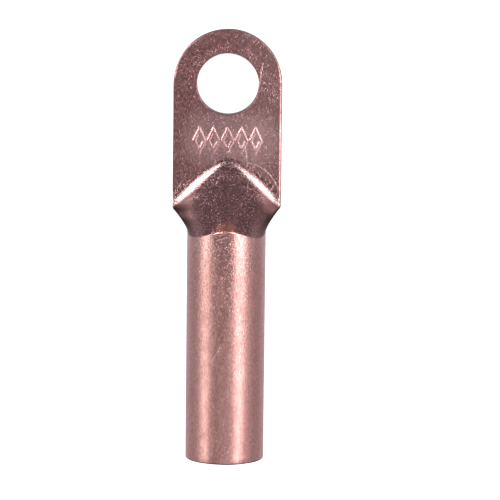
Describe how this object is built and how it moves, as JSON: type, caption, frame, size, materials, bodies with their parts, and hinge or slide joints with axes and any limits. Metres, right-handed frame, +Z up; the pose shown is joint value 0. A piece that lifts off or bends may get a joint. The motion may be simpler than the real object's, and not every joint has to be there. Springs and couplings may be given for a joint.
{
  "type": "cable lug",
  "caption": "Copper cable lug: a round crimp barrel pressed flat into a palm with a stud hole, for fastening a heavy cable under a bolt.",
  "frame": {"origin": "floor level under the middle of the lug's length and width", "axes": "+Y from the barrel's mouth to the tip of the palm, +Z up, square to the palm, with the lug lying on its barrel"},
  "size_m": [0.0302, 0.1207, 0.022],
  "materials": {
    "copper": "bare drawn and pressed copper, satin with bright streaks and a light brown tarnish"
  },
  "bodies": {
    "root": {"cable_lug": "copper"}
  },
  "joints": []
}
